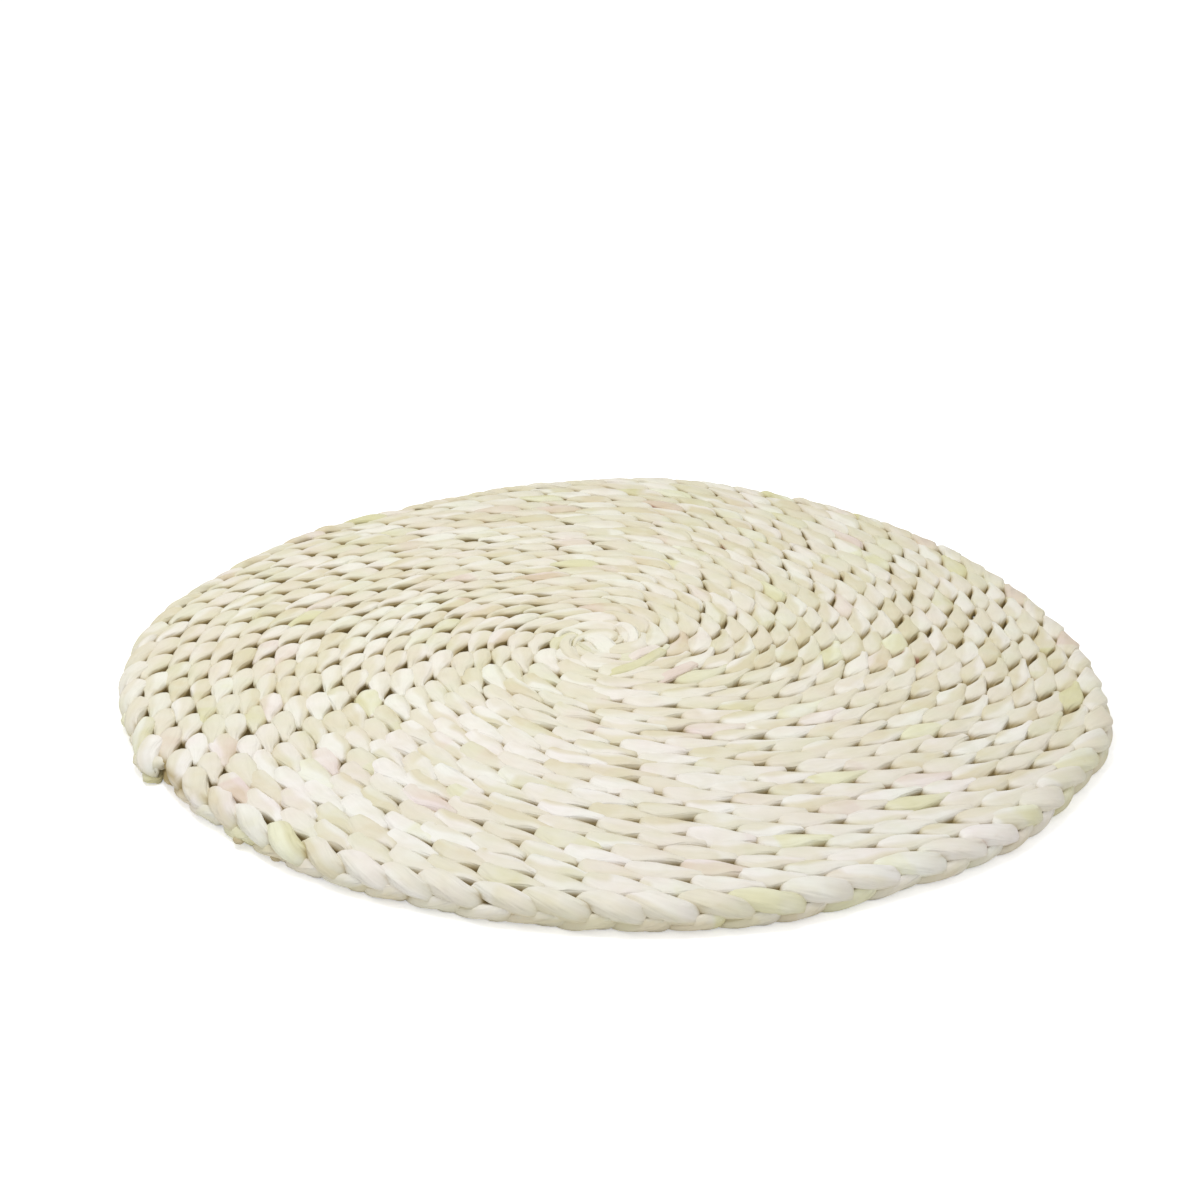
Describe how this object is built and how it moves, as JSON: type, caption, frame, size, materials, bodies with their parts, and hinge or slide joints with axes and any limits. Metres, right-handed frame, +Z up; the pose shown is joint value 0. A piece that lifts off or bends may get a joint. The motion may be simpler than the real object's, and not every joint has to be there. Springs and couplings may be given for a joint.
{
  "type": "round plaited placemat",
  "caption": "Flat round table mat: a plait of pale maize husk strips, stood on its edge and wound in a spiral from the centre out.",
  "frame": {"origin": "middle of the mat's box, at the level of the surface it lies on", "axes": "+Z up out of the table, -Y towards the viewer of the picture, +X to the right"},
  "size_m": [0.377, 0.3808, 0.0104],
  "materials": {
    "corn_husk": "matte, faintly silky along the fibres"
  },
  "bodies": {
    "root": {"plaited_mat": "corn_husk"}
  },
  "joints": []
}
